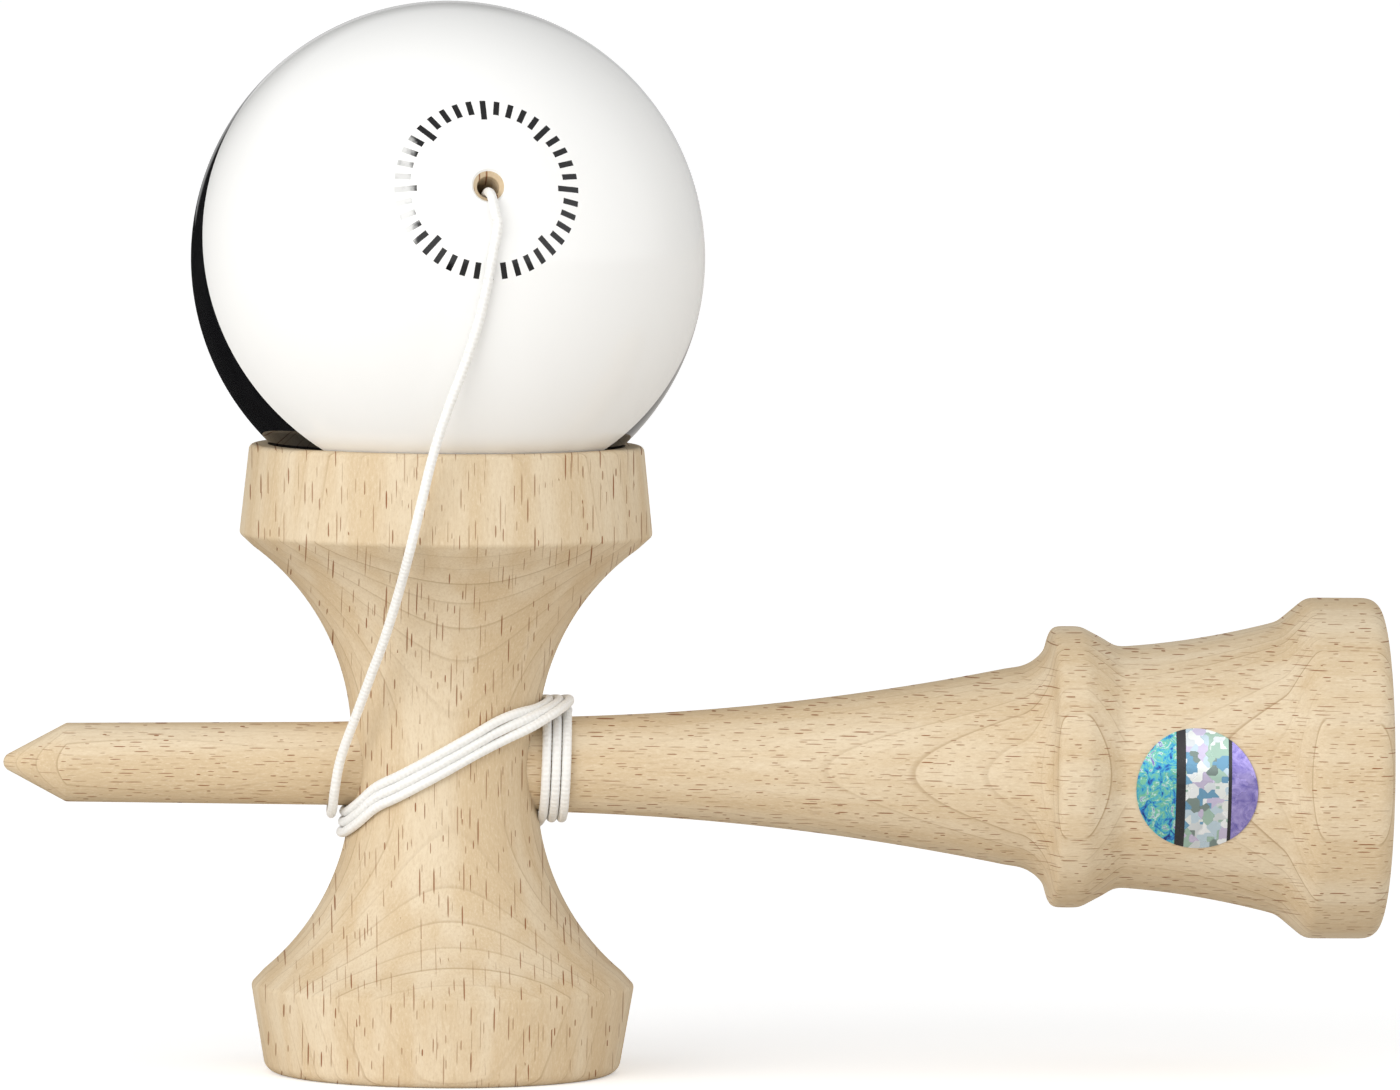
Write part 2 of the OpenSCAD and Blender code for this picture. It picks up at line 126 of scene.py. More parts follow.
def waist_points(degrees):
    """Slanting turns: round the neck at a height that goes as the cosine of the way round, over the
    handle at the right, with one more dip under the spike at the left. Each turn lies one step on from
    the last: upwards on the neck, and inwards along the handle where it goes over that."""
    a = np.radians(degrees)
    strand = ((degrees - 270) / 360 - 1) * waist_step
    side = eased((np.cos(a) - side_from) / (1 - side_from))
    dip = spike_dip * eased((-np.cos(a) - dip_from) / (1 - dip_from))
    slant = (over_rise - under_drop) / 2 + (over_rise + under_drop) / 2 * np.cos(a) - dip
    rise = slant + strand * np.cos(side * np.pi / 2)
    hug = neck_radius(rise) + string_r + string_clearance
    right_reach = neck_radius(over_rise) + string_r + string_clearance + inner_strand * waist_step
    reach = hug + (right_reach - hug) * side
    return np.stack([reach * np.cos(a) - strand * np.sin(side * np.pi / 2), reach * np.sin(a), rise], 1)


def through(points, step, cuts=24):
    """A smooth line through points, a cubic from each to the next whose slope at a point is half the way
    between its neighbours, sampled again at an even step along its length."""
    p = np.asarray(points, float)
    p = np.concatenate([[2 * p[0] - p[1]], p, [2 * p[-1] - p[-2]]])
    t = np.linspace(0, 1, cuts, endpoint=False)[None, :, None]
    a, b, c, d = (p[i:len(p) - 3 + i][:, None] for i in range(4))
    line = 0.5 * (2 * b + (c - a) * t + (2 * a - 5 * b + 4 * c - d) * t ** 2
                  + (3 * b - a - 3 * c + d) * t ** 3)
    line = np.concatenate([line.reshape(-1, 3), p[-2:-1]])
    way = np.concatenate([[0], np.cumsum(np.linalg.norm(np.diff(line, axis=0), axis=1))])
    even = np.linspace(0, way[-1], int(way[-1] / step) + 1)
    return np.stack([np.interp(even, way, line[:, k]) for k in range(3)], 1)


def put_mesh(name, points, faces, sharp=radians(40)):
    """A mesh object at the origin, from points in millimetres, smooth but for its sharp edges."""
    mesh = bpy.data.meshes.new(name)
    mesh.from_pydata((np.asarray(points) / METRE).tolist(), [], faces)
    mesh.shade_smooth()
    mesh.set_sharp_from_angle(angle=sharp)
    piece = bpy.data.objects.new(name, mesh)
    bpy.context.collection.objects.link(piece)
    return piece


def grid_faces(rows, columns, closed_rows=False):
    """Quads of a grid whose columns run round and close; the rows close too where the shape is a ring."""
    i, k = np.meshgrid(np.arange(rows if closed_rows else rows - 1), np.arange(columns), indexing="ij")
    j, n = (i + 1) % rows, (k + 1) % columns
    corners = [i * columns + k, i * columns + n, j * columns + n, j * columns + k]
    return np.stack(corners, -1).reshape(-1, 4)


def sides_along(line):
    """Headings of a line, and a side vector carried from point to point without twist."""
    heading = np.gradient(line, axis=0)
    heading /= np.linalg.norm(heading, axis=1)[:, None]
    side = np.empty_like(heading)
    carried = np.array([0, 0, 1.0]) if abs(heading[0, 2]) < 0.8 else np.array([1.0, 0, 0])
    for i, t in enumerate(heading):
        carried = carried - (carried @ t) * t
        carried /= np.linalg.norm(carried)
        side[i] = carried
    return heading, side


def braided_tube(name, line, radius, first=0, last=None):
    """A round tube along a line, or along a stretch of it, whose wall swells where the braid's yarns
    cross: two families of yarns run round it left and right, and the wall goes as the product of the
    sines of their ways round."""
    heading, side = sides_along(line)
    other = np.cross(heading, side)
    round_it = np.arange(string_sides) / string_sides
    along = np.arange(len(line)) * ring_step / (2 * np.pi * radius)
    left = np.sin(2 * np.pi * (yarn_pairs * round_it[None] + yarn_pitch * along[:, None]))
    right_hand = np.sin(2 * np.pi * (yarn_pairs * round_it[None] - yarn_pitch * along[:, None]))
    swell = radius * (1 + braid_swell * left * right_hand - braid_dip)
    angle = 2 * np.pi * round_it
    points = line[:, None] + swell[..., None] * (
        np.cos(angle)[None, :, None] * side[:, None] + np.sin(angle)[None, :, None] * other[:, None])
    points, along = points[first:last], along[first:last]
    rows = len(points)
    faces = grid_faces(rows, string_sides).tolist()
    faces.append(list(range(string_sides))[::-1])
    faces.append(list(range((rows - 1) * string_sides, rows * string_sides)))
    piece = put_mesh(name, points.reshape(-1, 3), faces, sharp=radians(80))
    lay = piece.data.uv_layers.new(name="lay")
    corner = np.empty(len(piece.data.loops), np.int32)
    piece.data.loops.foreach_get("vertex_index", corner)
    ring, place = corner // string_sides, corner % string_sides
    lay_uv = np.stack([place / string_sides, along[ring]], 1)
    lay.data.foreach_set("uv", lay_uv.astype(np.float32).ravel())
    return piece


up_axis = np.array([0, 0, axis_z])
turn_step = 15
turn = np.radians(np.arange(270, 270 + 360 * shaft_turns + 1, turn_step))
shaft_coil = np.stack([shaft_turns_x + shaft_step * (turn - turn[0]) / (2 * np.pi),
                       -shaft_turns_r * np.cos(turn), shaft_turns_r * np.sin(turn)], 1)
anchor_line = np.outer(anchor_way, [0, cos(anchor_tilt), -sin(anchor_tilt)])
waist_coil = waist_points(np.arange(waist_first, waist_last + 1.0, turn_step))
wound_way = np.concatenate([anchor_line, lead_in_way, shaft_coil, lead_over_way, waist_coil])
wound_line = through(wound_way + up_axis, ring_step)
free_line = through(np.concatenate([wound_line[-1:], free_way]), ring_step)
bead_way = [[0, 0, bead_stop], [0, 0, bead_mid], [0, 0, knot_top]]
free_line = through(np.concatenate([free_line[::12], in_ball(hole_way), in_ball(bead_way)]), ring_step)
# The turns are cut in three where the handle can be drawn out of the cross cup
out_of_handle = int((handle_seat_r - anchor_way[0]) / ring_step)
behind_waist = up_axis + waist_points(np.array([90.0]))
off_shaft = int(np.argmin(np.linalg.norm(wound_line - behind_waist, axis=1)))
string_in_handle = braided_tube("string_in_handle", wound_line, string_r, last=out_of_handle + 1)
string_on_shaft = braided_tube("string_on_shaft", wound_line, string_r, out_of_handle, off_shaft + 1)
string_wound = braided_tube("string_wound", wound_line, string_r, off_shaft)
string_free = braided_tube("string_to_ball", free_line, string_r)


def new_material(name):
    """A new material, its node tree and its Principled shader."""
    material = bpy.data.materials.new(name)
    material.use_nodes = True
    tree = material.node_tree
    return material, tree, tree.nodes["Principled BSDF"]


def node(tree, kind, links=(), **values):
    """Adds a node, sets its properties, and sets or links its input sockets by name or number."""
    n = tree.nodes.new(kind)
    for key, value in values.items():
        setattr(n, key, value)
    for socket, source in links:
        if hasattr(source, "is_linked"):
            tree.links.new(source, n.inputs[socket])
        else:
            n.inputs[socket].default_value = source
    return n


def maths(tree, operation, a, b=0.0):
    """One Math node's result."""
    return node(tree, "ShaderNodeMath", [(0, a), (1, b)], operation=operation).outputs[0]


def vector(tree, operation, a, b):
    """One Vector Math node's vector."""
    return node(tree, "ShaderNodeVectorMath", [(0, a), (1, b)], operation=operation).outputs[0]


def part_of(tree, source, axis):
    """One coordinate of a vector: 0, 1 or 2 for x, y or z."""
    return node(tree, "ShaderNodeSeparateXYZ", [(0, source)]).outputs[axis]


def noise(tree, place, scale, detail, **more):
    """A Noise Texture's value at a place, 0 to 1."""
    sockets = [("Vector", place), ("Scale", scale), ("Detail", detail)]
    sockets += [(name.capitalize(), value) for name, value in more.items()]
    return node(tree, "ShaderNodeTexNoise", sockets).outputs["Fac"]


def own_place(tree):
    """The place of a point in its piece's own axes, in metres."""
    return node(tree, "ShaderNodeTexCoord").outputs["Object"]


def bumped(tree, shader, height, strength, distance):
    """Gives a shader the normal of a bumpy skin, whose height is a value and whose depth is in metres."""
    bump = node(tree, "ShaderNodeBump", [("Strength", strength), ("Distance", distance), ("Height", height)])
    tree.links.new(bump.outputs[0], shader.inputs["Normal"])


def step_up(tree, value, low, high):
    """0 below low, 1 above high, smooth between."""
    n = node(tree, "ShaderNodeMapRange", [("Value", value), ("From Min", low), ("From Max", high)],
             interpolation_type="SMOOTHSTEP")
    return n.outputs["Result"]


def mixed(tree, factor, a, b):
    """One Mix node's colour: the first where the factor is 0, the second where it is 1."""
    return node(tree, "ShaderNodeMix", [(0, factor), (6, a), (7, b)], data_type="RGBA").outputs[2]


yarn_white, yarn_painted_shade = (0.9, 0.895, 0.87, 1), (0.74, 0.73, 0.68, 1)
string_finish, tree, shader = new_material("braided string")
lay = node(tree, "ShaderNodeUVMap", uv_map="lay").outputs[0]
round_yarn = maths(tree, "MULTIPLY", part_of(tree, lay, 0), yarn_pairs)
along_yarn = maths(tree, "MULTIPLY", part_of(tree, lay, 1), yarn_pitch)
left_way = maths(tree, "MULTIPLY", maths(tree, "ADD", round_yarn, along_yarn), 2 * np.pi)
right_way = maths(tree, "MULTIPLY", maths(tree, "SUBTRACT", round_yarn, along_yarn), 2 * np.pi)
crossing = maths(tree, "MULTIPLY", maths(tree, "SINE", left_way), maths(tree, "SINE", right_way))
# Painted shade: the white yarn is coloured darker where the braid's wall dips between the yarns' crossings,
# as shade in its furrows.
furrow_painted_shade = maths(tree, "MULTIPLY", step_up(tree, crossing, 0.2, -0.9), 0.3)
tree.links.new(mixed(tree, furrow_painted_shade, yarn_white, yarn_painted_shade), shader.inputs["Base Color"])
fibres = noise(tree, own_place(tree), 5200.0, 2.0)
bumped(tree, shader, maths(tree, "ADD", crossing, fibres), 0.4, 0.00008)
shader.inputs["Roughness"].default_value = 0.6
shader.inputs["Sheen Weight"].default_value = 0.25
shader.inputs["Subsurface Weight"].default_value = 0.5
shader.inputs["Subsurface Radius"].default_value = (1, 1, 1)
shader.inputs["Subsurface Scale"].default_value = 0.0007


for piece, stood_for in ((string_in_handle, "handle_knot"), (string_on_shaft, "string_turns"),
                         (string_wound, "string_turns"), (string_free, "string_free")):
    piece.data.materials.append(string_finish)
    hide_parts(stood_for)
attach(string_in_handle, "handle")
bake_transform(string_on_shaft)
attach(string_wound, "cross_cup")
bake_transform(string_free)


# Cross cup. A crosspiece turned from one block of beech with its fibres upright: a big cup on top,
# a small cup below, a narrow waist, and a tapered bore across it that wedges on the handle.
cup_h = 73.5
big_collar_r, big_rim_r, big_mouth_r, big_bowl_r = 24.1, 23.1, 20.9, 27.0
small_collar_r, small_rim_r, small_mouth_r, small_bowl_r = 22.35, 20.9, 17.6, 22.0
collar_round, foot_round, lip_round = 0.7, 1.6, 0.45
seat_half, seat_small_r, seat_large_r, seat_gap = 14.0, 4.85, 5.6, 0.05
anchor_hole_r = 1.0
turned_sides = 192
upright = np.eye(3)
along_handle = np.array([[0, 0, -1.0], [0, 1, 0], [1, 0, 0]])
anchor_axis = np.array([0, cos(anchor_tilt), -sin(anchor_tilt)])
along_anchor = np.array([[1, 0, 0], np.cross(anchor_axis, [1, 0, 0]), anchor_axis])


def arc(centre, radius, start, end, steps=10):
    """Points of a round stretch of an outline, between two angles in degrees."""
    a = np.radians(np.linspace(start, end, steps + 1))
    return np.asarray(centre) + radius * np.stack([np.cos(a), np.sin(a)], 1)


def turned(name, outline, axes=upright, origin=(0, 0, 0), sides=turned_sides, sharp=radians(40)):
    """A turned piece: an outline of radii and heights carried round an axis. It runs from pole to pole,
    up its outside, or is a closed ring where its ends stand off the axis."""
    outline = np.asarray(outline, float)
    poles = outline[0, 0] == 0 and outline[-1, 0] == 0
    rings = outline[1:-1] if poles else outline
    angle = 2 * np.pi * np.arange(sides) / sides
    points = np.stack([rings[:, :1] * np.cos(angle), rings[:, :1] * np.sin(angle),
                       np.broadcast_to(rings[:, 1:], (len(rings), sides))], -1).reshape(-1, 3)
    faces = grid_faces(len(rings), sides, closed_rows=not poles).tolist()
    if poles:
        k = np.arange(sides)
        low, high, top = len(points), len(points) + 1, (len(rings) - 1) * sides
        points = np.concatenate([points, [[0, 0, outline[0, 1]], [0, 0, outline[-1, 1]]]])
        faces += np.stack([np.full(sides, low), (k + 1) % sides, k], 1).tolist()
        faces += np.stack([top + k, top + (k + 1) % sides, np.full(sides, high)], 1).tolist()
    return put_mesh(name, np.asarray(origin) + points @ axes, faces, sharp)


def drilled(piece, cutters, sharp=radians(40)):
    """Cuts closed shapes out of a piece, such as bores and holes, and removes the cutters."""
    for cutter in cutters:
        cut = piece.modifiers.new("drill", "BOOLEAN")
        cut.operation, cut.solver, cut.object = "DIFFERENCE", "EXACT", cutter
    seen = piece.evaluated_get(bpy.context.evaluated_depsgraph_get())
    mesh = bpy.data.meshes.new_from_object(seen)
    piece.modifiers.clear()
    piece.data = mesh
    mesh.shade_smooth()
    mesh.set_sharp_from_angle(angle=sharp)
    for cutter in cutters:
        bpy.data.objects.remove(cutter)


def rod(start, end, start_r, end_r, axes, origin=up_axis):
    """A straight or tapered rod along an axis, to drill with."""
    return turned("rod", [[0, start], [start_r, start], [end_r, end], [0, end]], axes, origin, sides=96)


def bowl(mouth_r, bowl_r, height, facing):
    """A cup's round hollow, from its middle to its mouth: part of a ball's outline, facing up (1) or
    down (-1)."""
    lift = sqrt(bowl_r ** 2 - mouth_r ** 2)
    edge = np.degrees(np.arctan2(lift, mouth_r))
    hollow = arc([0, 0], bowl_r, -90, -edge, 40) * [1, facing] + [0, height + facing * lift]
    hollow[0, 0] = 0
    return hollow


big_sweep = sqrt(neck_sweep_r ** 2 - (neck_sweep_r - big_collar_r + collar_round + waist_r) ** 2)
small_sweep = sqrt(neck_sweep_r ** 2 - (neck_sweep_r - small_collar_r + collar_round + waist_r) ** 2)
big_edge = axis_z + waist_half + sqrt(neck_sweep_r ** 2 - (neck_sweep_r - big_collar_r + waist_r) ** 2)
small_edge = axis_z - waist_half - sqrt(neck_sweep_r ** 2 - (neck_sweep_r - small_collar_r + waist_r) ** 2)
neck_down = waist_half + small_sweep * np.linspace(1, 0, 40)[1:]
neck_up = waist_half + big_sweep * np.linspace(0, 1, 40)[:-1]
cross_outline = np.concatenate([
    bowl(small_mouth_r, small_bowl_r, 0, -1)[:-1],
    arc([small_mouth_r + lip_round, lip_round], lip_round, 200, 270, 5),
    arc([small_rim_r - foot_round, foot_round], foot_round, -90, -6),
    arc([small_collar_r - collar_round, small_edge - collar_round], collar_round, -6, 50, 6),
    np.stack([neck_radius(neck_down), axis_z - neck_down], 1),
    np.stack([neck_radius(neck_up), axis_z + neck_up], 1),
    arc([big_collar_r - collar_round, big_edge + collar_round], collar_round, -50, 6, 6),
    arc([big_rim_r - collar_round, cup_h - collar_round], collar_round, 6, 90, 8),
    bowl(big_mouth_r, big_bowl_r, cup_h, 1)[::-1]])
cross_cup = turned("beech_cross_cup", cross_outline)
seat_bore = rod(-seat_half, seat_half, seat_small_r + seat_gap, seat_large_r + seat_gap, along_handle)
anchor_hole = rod(0, 2 * waist_r, anchor_hole_r, anchor_hole_r, along_anchor)
drilled(cross_cup, [seat_bore, anchor_hole])


def new_group(name, inputs, outputs):
    """A node group, what its inputs give and what its outputs take, from the sockets' names and kinds."""
    group = bpy.data.node_groups.new(name, "ShaderNodeTree")
    for in_out, sockets in (("INPUT", inputs), ("OUTPUT", outputs)):
        for socket, kind in sockets:
            group.interface.new_socket(socket, in_out=in_out, socket_type="NodeSocket" + kind)
    return group, group.nodes.new("NodeGroupInput").outputs, group.nodes.new("NodeGroupOutput").inputs


def staggered(tree, place, share):
    """A place whose z has a share of its x and y added, so that cells stacked on it don't stand in rows."""
    x, y, z = node(tree, "ShaderNodeSeparateXYZ", [(0, place)]).outputs
    lifted = maths(tree, "ADD", z, maths(tree, "MULTIPLY", maths(tree, "ADD", x, y), share))
    return node(tree, "ShaderNodeCombineXYZ", [(0, x), (1, y), (2, lifted)]).outputs[0]


def beech_group():
    """Steamed beech, in millimetres, with z along the fibres and the pith on the z axis. Growth layers are
    thin darker lines at even distances from the pith, plainest where the fibres are cut across. Rays are
    short brown spindles along the fibres that run deep towards the pith. Fine streaks follow the fibres."""
    group, given, result = new_group("beech", [
        ("Vector", "Vector"), ("Ray Length", "Float"), ("Ray Width", "Float"), ("Ray Spacing", "Vector"),
        ("Layer Step", "Float"), ("Layer Strength", "Float"), ("End Grain", "Float")],
        [("Color", "Color"), ("Height", "Float"), ("Roughness", "Float")])
    warm, pale = (0.66, 0.515, 0.33, 1), (0.74, 0.62, 0.445, 1)
    dark_fleck, light_fleck = (0.53, 0.38, 0.22, 1), (0.82, 0.71, 0.54, 1)
    streak_brown, late_brown = (0.55, 0.4, 0.24, 1), (0.41, 0.28, 0.155, 1)
    ray_brown = (0.24, 0.075, 0.016, 1)
    wander_by, stagger = 2.6, 0.62

    # Growth layers: the distance from a pith that wanders a little, cut into even steps
    slow = node(group, "ShaderNodeTexNoise", [("Vector", given["Vector"]), ("Scale", 0.035), ("Detail", 1.0)])
    wander = vector(group, "SUBTRACT", slow.outputs["Color"], (0.5, 0.5, 0.5))
    wander = vector(group, "MULTIPLY", wander, (wander_by, wander_by, wander_by))
    across = vector(group, "MULTIPLY", vector(group, "ADD", given["Vector"], wander), (1, 1, 0))
    depth = node(group, "ShaderNodeVectorMath", [(0, across)], operation="LENGTH").outputs["Value"]
    layer = maths(group, "DIVIDE", depth, given["Layer Step"])
    year = maths(group, "FRACT", layer)
    line = maths(group, "MULTIPLY", step_up(group, year, 0.87, 0.965), step_up(group, year, 1.0, 0.972))
    shade = maths(group, "MULTIPLY", step_up(group, year, 0.2, 0.95), step_up(group, year, 1.0, 0.96))
    late = maths(group, "ADD", maths(group, "MULTIPLY", line, 0.85), maths(group, "MULTIPLY", shade, 0.2))
    own_strength = node(group, "ShaderNodeTexWhiteNoise", [("W", maths(group, "FLOOR", layer))],
                        noise_dimensions="1D").outputs["Value"]
    end_grain = step_up(group, given["End Grain"], 0.04, 0.26)
    plainness = maths(group, "ADD", 0.25, maths(group, "MULTIPLY", end_grain, 0.75))
    for factor in (maths(group, "ADD", 0.15, own_strength), given["Layer Strength"], plainness):
        late = maths(group, "MULTIPLY", late, factor)

    # Streaks and slow clouds, both drawn out along the fibres
    fine = vector(group, "MULTIPLY", given["Vector"], (1, 1, 0.05))
    streak = noise(group, fine, 3.2, 4.0, roughness=0.65)
    cloud = noise(group, fine, 0.22, 2.0)

    # Rays: a spindle in each cell of a stretched lattice, of its own length, width and depth of colour
    cells = staggered(group, vector(group, "DIVIDE", given["Vector"], given["Ray Spacing"]), stagger)
    cell = node(group, "ShaderNodeTexVoronoi", [("Vector", cells), ("Scale", 1.0)])
    off = staggered(group, vector(group, "SUBTRACT", cells, cell.outputs["Position"]), -stagger)
    off = vector(group, "MULTIPLY", off, given["Ray Spacing"])
    chance = node(group, "ShaderNodeSeparateColor", [(0, cell.outputs["Color"])]).outputs
    half_l = maths(group, "ADD", 0.25, maths(group, "POWER", chance[0], 1.6))
    half_l = maths(group, "MULTIPLY", given["Ray Length"], half_l)
    half_w = maths(group, "ADD", 0.5, maths(group, "MULTIPLY", chance[1], 1.3))
    half_w = maths(group, "MULTIPLY", given["Ray Width"], half_w)
    along_ray = maths(group, "ABSOLUTE", maths(group, "DIVIDE", part_of(group, off, 2), half_l))
    taper = maths(group, "SUBTRACT", 1.0, maths(group, "POWER", along_ray, 4.0))
    inside = maths(group, "SUBTRACT", maths(group, "MULTIPLY", half_w, taper),
                   maths(group, "ABSOLUTE", part_of(group, off, 0)))
    ray_depth = maths(group, "ADD", 0.4, maths(group, "MULTIPLY", chance[2], 0.6))
    ray = maths(group, "MULTIPLY", step_up(group, inside, -0.02, 0.02), ray_depth)

    # Colour: the clouds' two tones, with flecks, streaks, late wood and rays laid over them in turn
    fleck = noise(group, vector(group, "MULTIPLY", given["Vector"], (1, 1, 0.3)), 4.5, 2.0, roughness=0.8)
    tone = mixed(group, step_up(group, cloud, 0.35, 0.68), warm, pale)
    for share, strength, colour in ((step_up(group, fleck, 0.5, 0.72), 0.3, dark_fleck),
                                    (step_up(group, fleck, 0.48, 0.3), 0.35, light_fleck),
                                    (step_up(group, streak, 0.42, 0.75), 0.3, streak_brown),
                                    (late, 0.65, late_brown), (ray, 0.95, ray_brown)):
        tone = mixed(group, maths(group, "MULTIPLY", share, strength), tone, colour)
    group.links.new(tone, result["Color"])
    height = maths(group, "SUBTRACT", maths(group, "MULTIPLY", streak, 0.5),
                   maths(group, "MULTIPLY", ray, 0.6))
    group.links.new(height, result["Height"])
    group.links.new(maths(group, "ADD", 0.5, maths(group, "MULTIPLY", streak, 0.2)), result["Roughness"])
    return group


beech = beech_group()


def beech_finish(name, turned_by, pith, ray_length, ray_width, ray_spacing, layer_step, layer_strength):
    """Sanded beech without varnish. The piece's own axes are turned so that z runs along its fibres."""
    material, tree, shader = new_material(name)
    grain = node(tree, "ShaderNodeMapping", [("Vector", own_place(tree)), ("Location", pith),
                                             ("Rotation", turned_by), ("Scale", (METRE, METRE, METRE))])
    normal = node(tree, "ShaderNodeTexCoord").outputs["Normal"]
    facing = node(tree, "ShaderNodeVectorRotate", [(0, normal), ("Rotation", turned_by)],
                  rotation_type="EULER_XYZ")
    cut_across = maths(tree, "ABSOLUTE", part_of(tree, facing.outputs[0], 2))
    wood = node(tree, "ShaderNodeGroup", [
        ("Vector", grain.outputs[0]), ("End Grain", cut_across), ("Ray Length", ray_length),
        ("Ray Width", ray_width), ("Ray Spacing", ray_spacing), ("Layer Step", layer_step),
        ("Layer Strength", layer_strength)], node_tree=beech).outputs
    tree.links.new(wood["Color"], shader.inputs["Base Color"])
    tree.links.new(wood["Roughness"], shader.inputs["Roughness"])
    bumped(tree, shader, wood["Height"], 0.35, 0.00012)
    shader.inputs["Specular IOR Level"].default_value = 0.15
    return material


cup_wood = beech_finish("beech upright", turned_by=(0, 0, 0), pith=(3, -78, 0),
                        ray_length=1.7, ray_width=0.05, ray_spacing=(0.85, 9, 5.6),
                        layer_step=1.9, layer_strength=0.95)
cross_cup.data.materials.append(cup_wood)
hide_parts("cross_cup")
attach(cross_cup, "cross_cup")


# Handle. Turned from one length of beech with its fibres along it: a blunt spike, the tapered seat in
# the cross cup, a long flare, a ring that stops the fingers, and the base cup at the end.
spike_l, point_l, tip_r, spike_r, point_round = 51.5, 7.3, 1.1, 4.6, 0.1
base_l = 109.8
ring_x, ring_r, ring_w, ring_round = 73.0, 16.5, 2.6, 1.0
ring_run, ring_hollow_r, flare_r = 5.5, 5.0, 11.6
base_neck_r, base_neck_run, base_hollow_r = 14.15, 5.0, 2.5
base_body_r, base_shoulder, base_edge_round = 17.2, 2.6, 1.2
base_rim_r, base_rim_w, base_mouth_r, base_bowl_r, base_round = 20.0, 9.5, 16.4, 21.0, 1.9
spike_from = point_l - spike_l
flare_to = ring_x - ring_w / 2 - ring_run
neck_x = ring_x + ring_w / 2 + base_neck_run
base_from = base_l - base_rim_w - base_shoulder
point_angle = np.degrees(np.arctan((spike_r - tip_r) / (point_l - tip_r)))


def flare(x):
    """Radius of the handle from its seat to the ring: a parabola that starts with the seat's own slope."""
    run = flare_to - seat_half
    t, slope = (x - seat_half) / run, (seat_large_r - seat_small_r) / (2 * seat_half) * run
    return seat_large_r + slope * t + (flare_r - seat_large_r - slope) * t * t


def base_flare(x):
    """Radius of the base cup's body from its neck to its shoulder: a parabola that starts almost level."""
    t, slope = (x - neck_x) / (base_from - neck_x), 1.2
    return base_neck_r + slope * t + (base_body_r - base_neck_r - slope) * t * t


def sanded(outline, reach=0.5, step=0.3):
    """An outline with its corners rubbed round: sampled evenly, each point becomes the mean of its
    neighbours under a bell curve of that reach, and the ends stay where they are."""
    way = np.concatenate([[0], np.cumsum(np.linalg.norm(np.diff(outline, axis=0), axis=1))])
    even = np.linspace(0, way[-1], int(way[-1] / step) + 1)
    line = np.stack([np.interp(even, way, outline[:, k]) for k in range(2)], 1)
    near = np.arange(-int(3 * reach / step), int(3 * reach / step) + 1)
    weight = np.exp(-(near * step / reach) ** 2 / 2)
    line = np.pad(line, ((len(near) // 2,) * 2, (0, 0)), mode="reflect", reflect_type="odd")
    return np.stack([np.convolve(line[:, k], weight / weight.sum(), "valid") for k in range(2)], 1)


flare_x, ring_join = np.linspace(seat_half, flare_to, 40), 4
base_x = np.linspace(neck_x, base_from, 24)[1:]
tip = arc([0, tip_r - spike_l], tip_r, -90, -point_angle, 8)
tip[0, 0] = 0
base_outline = np.concatenate([
    np.stack([flare(flare_x[-ring_join:]), flare_x[-ring_join:]], 1),
    arc([flare_r + ring_hollow_r, flare_to], ring_hollow_r, 172, 122, 12),
    arc([ring_r - ring_round, ring_x - ring_w / 2], ring_round, -40, 0, 6),
    arc([ring_r - ring_round, ring_x + ring_w / 2], ring_round, 0, 45, 6),
    arc([base_neck_r + base_hollow_r, neck_x], base_hollow_r, 225, 180, 8),
    np.stack([base_flare(base_x), base_x], 1),
    arc([base_rim_r - base_edge_round, base_l - base_rim_w + base_edge_round], base_edge_round, -45, -4, 6),
    arc([base_rim_r - base_round, base_l - base_round], base_round, 4, 90, 10)])
handle_outline = np.concatenate([
    tip,
    [[spike_r - point_round, spike_from - 1.6 * point_round], [spike_r, spike_from + point_round],
     [seat_small_r, -seat_half]],
    np.stack([flare(flare_x[:-ring_join]), flare_x[:-ring_join]], 1),
    sanded(base_outline),
    bowl(base_mouth_r, base_bowl_r, base_l, 1)[::-1]])
handle = turned("beech_handle", handle_outline, along_handle, up_axis)
knot_r, knot_l, knot_clearance, knot_gap = 1.35, 2.4, 0.2, 0.1
past_seat = seat_large_r + 1
knot_pocket_r = knot_r + knot_clearance
anchor_hole = rod(-seat_large_r, seat_large_r, anchor_hole_r, anchor_hole_r, along_anchor)
knot_pocket = rod(-past_seat, anchor_way[0], knot_pocket_r, knot_pocket_r, along_anchor)
drilled(handle, [anchor_hole, knot_pocket])
handle_wood = beech_finish("beech along the handle", turned_by=(0, radians(-90), 0), pith=(axis_z, -70, 0),
                           ray_length=0.95, ray_width=0.036, ray_spacing=(0.5, 8, 3.0),
                           layer_step=1.35, layer_strength=1.1)
handle.data.materials.append(handle_wood)
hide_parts("handle")
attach(handle, "handle")


# Knots. The string is stopped by a plain overhand knot at each end: one in a pocket in the handle,
# closed in by the cross cup, and one under the bead in the ball.
def overhand_knot(name, foot, axes, cuts=120):
    """A three-leaf knot line, wound twice round its axis while it weaves three times in and out."""
    t = np.linspace(0, 2 * np.pi, cuts, endpoint=False)
    wide, tall = (knot_r - string_r) / 3, knot_l / 2 - string_r
    line = np.stack([wide * (np.sin(t) + 2 * np.sin(2 * t)), wide * (np.cos(t) - 2 * np.cos(2 * t)),
                     knot_l / 2 - tall * np.sin(3 * t)], 1)
    line = through(np.concatenate([line, line[:1]]), ring_step) @ axes + np.asarray(foot)
    return braided_tube(name, line, string_r)


handle_knot_foot = up_axis + (anchor_way[0] - knot_gap - knot_l) * anchor_axis
handle_knot = overhand_knot("handle_knot_tied", handle_knot_foot, along_anchor)
bead_knot = overhand_knot("bead_knot_tied", in_ball([[0, 0, knot_top - knot_l]])[0], ball_axes)
for piece, stood_for, body in ((handle_knot, "handle_knot", "handle"), (bead_knot, "bead_knot", "tether")):
    piece.data.materials.append(string_finish)
    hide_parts(stood_for)
    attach(piece, body)
